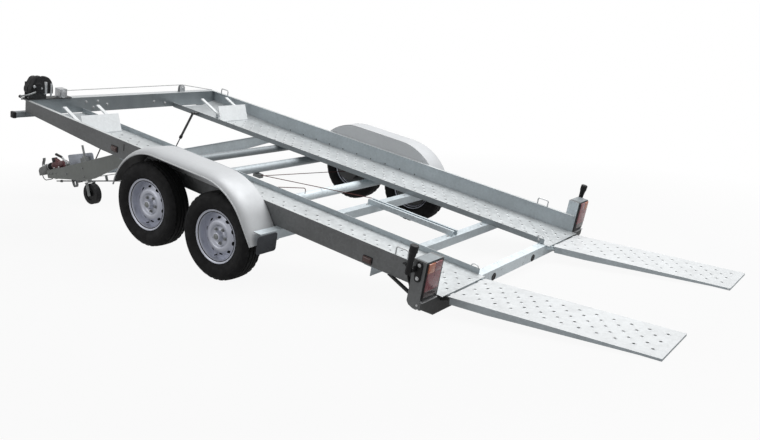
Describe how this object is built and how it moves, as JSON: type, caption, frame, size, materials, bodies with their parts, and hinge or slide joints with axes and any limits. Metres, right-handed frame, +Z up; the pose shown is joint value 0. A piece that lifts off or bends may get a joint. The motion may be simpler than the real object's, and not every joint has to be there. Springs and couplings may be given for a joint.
{
  "type": "car transport trailer",
  "caption": "Twin-axle tilting car trailer with open wheel tracks, front hand winch, hinged drawbar on gas struts, jockey wheel and loading ramps laid out to the ground.",
  "frame": {"origin": "on the ground, under the middle of the overall length and width", "axes": "+X forward to the coupling, +Y to the trailer's left, +Z up"},
  "size_m": [6.6831, 2.5178, 1.2479],
  "materials": {
    "galvanised": "hot dip galvanised, faint spangle",
    "tyre": "matt",
    "rubber": "matt",
    "wheel_disc": "silver satin",
    "fender": "light grey satin",
    "lens": "gloss",
    "black": "satin",
    "marker": "gloss",
    "red_cast": "painted casting",
    "cast": "zinc plated"
  },
  "bodies": {
    "bed": {"track_left": "galvanised", "track_right": "galvanised", "front_beam": "galvanised", "rear_beam": "galvanised", "side_rail_left": "galvanised", "side_rail_right": "galvanised", "cross_members": "galvanised", "centre_rail": "galvanised", "pivot_brackets": "galvanised", "strut_brackets": "galvanised", "axle_front": "cast", "axle_rear": "cast", "fender_left": "fender", "fender_right": "fender", "wheel_stops": "galvanised", "lashing_loops": "galvanised", "lamp_box_left": "galvanised", "lamp_box_right": "galvanised", "lamp_lens_left": "lens", "lamp_lens_right": "lens", "lock_levers": "black", "marker_arms": "galvanised", "side_markers": "marker", "winch_base": "galvanised", "winch_drum": "black", "winch_cable": "galvanised", "cable_pulley": "galvanised", "brake_cables": "black"},
    "drawbar": {"drawbar_rail_left": "galvanised", "drawbar_rail_right": "galvanised", "drawbar_nose": "galvanised", "drawbar_plate": "galvanised", "overrun_housing": "red_cast", "bellows": "rubber", "coupling_head": "cast", "coupling_handle": "cast", "handbrake": "galvanised", "brake_rod": "galvanised", "breakaway_cable": "black", "jockey_column": "galvanised"},
    "jockey_leg": {"jockey_leg": "galvanised"},
    "jockey_wheel": {"jockey_wheel": "rubber"},
    "strut_barrel_left": {"strut_barrel_left": "black"},
    "strut_rod_left": {"strut_rod_left": "galvanised"},
    "ramp_left": {"ramp_left": "galvanised"},
    "wheel_front_left": {"tyre_front_left": "tyre", "rim_front_left": "wheel_disc"},
    "wheel_rear_left": {"tyre_rear_left": "tyre", "rim_rear_left": "wheel_disc"},
    "strut_barrel_right": {"strut_barrel_right": "black"},
    "strut_rod_right": {"strut_rod_right": "galvanised"},
    "ramp_right": {"ramp_right": "galvanised"},
    "wheel_front_right": {"tyre_front_right": "tyre", "rim_front_right": "wheel_disc"},
    "wheel_rear_right": {"tyre_rear_right": "tyre", "rim_rear_right": "wheel_disc"}
  },
  "joints": [
    {"name": "drawbar_tilt", "type": "hinge", "parent": "bed", "child": "drawbar", "pos_m": [0.88118, 0, 0.67666], "axis": [0, -1, 0], "range_deg": [0, 22]},
    {"name": "jockey_slide", "type": "slide", "parent": "drawbar", "child": "jockey_leg", "axis": [0.2001, 0, 0.9798], "range_m": [-0.12, 0.05]},
    {"name": "jockey_spin", "type": "hinge", "parent": "jockey_leg", "child": "jockey_wheel", "pos_m": [2.48014, 0.032, 0.1], "axis": [0, 1, 0], "continuous": true},
    {"name": "strut_swing_left", "type": "hinge", "parent": "bed", "child": "strut_barrel_left", "pos_m": [1.54395, 0.432, 0.88899], "axis": [0, -1, 0], "range_deg": [0, 45.67]},
    {"name": "strut_slide_left", "type": "slide", "parent": "strut_barrel_left", "child": "strut_rod_left", "axis": [-0.6185, 0, 0.7858], "range_m": [0, 0.1976]},
    {"name": "ramp_swing_left", "type": "hinge", "parent": "bed", "child": "ramp_left", "pos_m": [-2.0783, 0.7475, 0.10473], "axis": [0, 1, 0], "range_deg": [-26, 20]},
    {"name": "wheel_spin_front_left", "type": "hinge", "parent": "bed", "child": "wheel_front_left", "pos_m": [0.20507, 1.159, 0.43503], "axis": [0, 1, 0], "continuous": true},
    {"name": "wheel_spin_rear_left", "type": "hinge", "parent": "bed", "child": "wheel_rear_left", "pos_m": [-0.45894, 1.159, 0.298], "axis": [0, 1, 0], "continuous": true},
    {"name": "strut_swing_right", "type": "hinge", "parent": "bed", "child": "strut_barrel_right", "pos_m": [1.54395, -0.432, 0.88899], "axis": [0, -1, 0], "range_deg": [0, 45.67]},
    {"name": "strut_slide_right", "type": "slide", "parent": "strut_barrel_right", "child": "strut_rod_right", "axis": [-0.6185, 0, 0.7858], "range_m": [0, 0.1976]},
    {"name": "ramp_swing_right", "type": "hinge", "parent": "bed", "child": "ramp_right", "pos_m": [-2.0783, -0.7475, 0.10473], "axis": [0, 1, 0], "range_deg": [-26, 20]},
    {"name": "wheel_spin_front_right", "type": "hinge", "parent": "bed", "child": "wheel_front_right", "pos_m": [0.20507, -1.159, 0.43503], "axis": [0, 1, 0], "continuous": true},
    {"name": "wheel_spin_rear_right", "type": "hinge", "parent": "bed", "child": "wheel_rear_right", "pos_m": [-0.45894, -1.159, 0.298], "axis": [0, 1, 0], "continuous": true}
  ],
  "couplings": [
    {"joint": "strut_swing_left", "follows": "drawbar_tilt", "ratio": 2.076},
    {"joint": "strut_slide_left", "follows": "drawbar_tilt", "m_per_rad": 0.51451},
    {"joint": "strut_swing_right", "follows": "drawbar_tilt", "ratio": 2.076},
    {"joint": "strut_slide_right", "follows": "drawbar_tilt", "m_per_rad": 0.51451}
  ]
}
